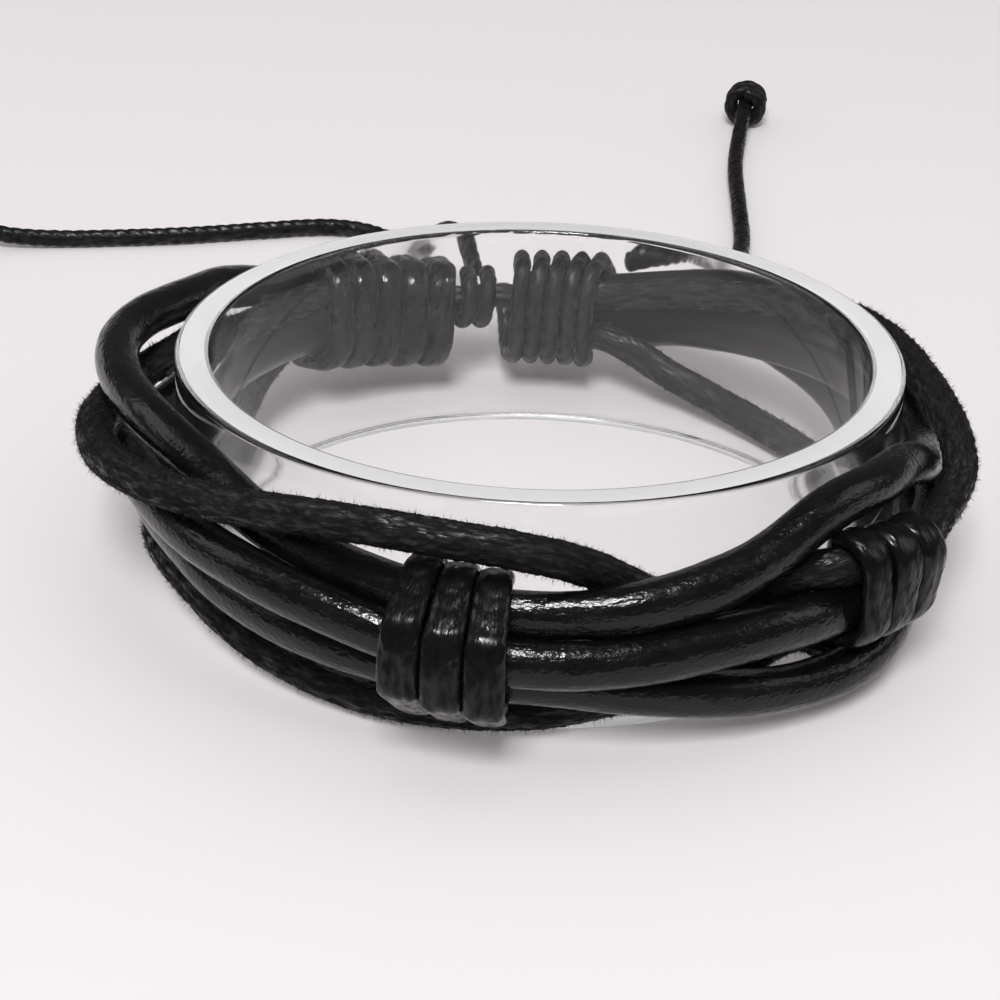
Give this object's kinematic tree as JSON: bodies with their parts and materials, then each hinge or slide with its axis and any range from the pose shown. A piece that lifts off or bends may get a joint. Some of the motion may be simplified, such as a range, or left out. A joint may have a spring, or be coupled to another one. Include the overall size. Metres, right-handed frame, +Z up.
{
  "type": "layered leather bracelet on a clear display ring",
  "caption": "Layered bracelet of round leather and braided cotton strands bound with waxed lace and sliding knots, worn by a clear display ring that it stands with.",
  "frame": {"origin": "on the axis of the display ring, at the surface that it stands on", "axes": "+Z up along the axis of the display ring, -Y towards the front winding, +X towards the side winding"},
  "size_m": [0.1074, 0.1671, 0.0201],
  "materials": {
    "clear_plastic": "clear polished plastic",
    "black_leather": "glossy dyed round leather with a fine wrinkled grain",
    "black_cotton": "matt braided cotton with short fuzz",
    "waxed_lace": "half-gloss waxed flat lace",
    "waxed_cord": "half-gloss waxed twisted cord"
  },
  "bodies": {
    "root": {"display_ring": "clear_plastic", "leather_strand_upper": "black_leather", "leather_strand_middle": "black_leather", "leather_strand_lower": "black_leather", "cotton_strand_upper": "black_cotton", "cotton_strand_lower": "black_cotton", "front_wrap": "waxed_lace", "side_wrap": "waxed_lace", "left_end_binding": "waxed_lace", "left_sliding_knot": "waxed_cord", "right_sliding_knot": "waxed_cord", "closing_cord_inner": "waxed_cord", "closing_cord_outer": "waxed_cord", "left_pull_cord": "waxed_cord", "right_pull_cord": "waxed_cord", "left_end_knot": "waxed_cord", "right_end_knot": "waxed_cord"}
  },
  "joints": []
}
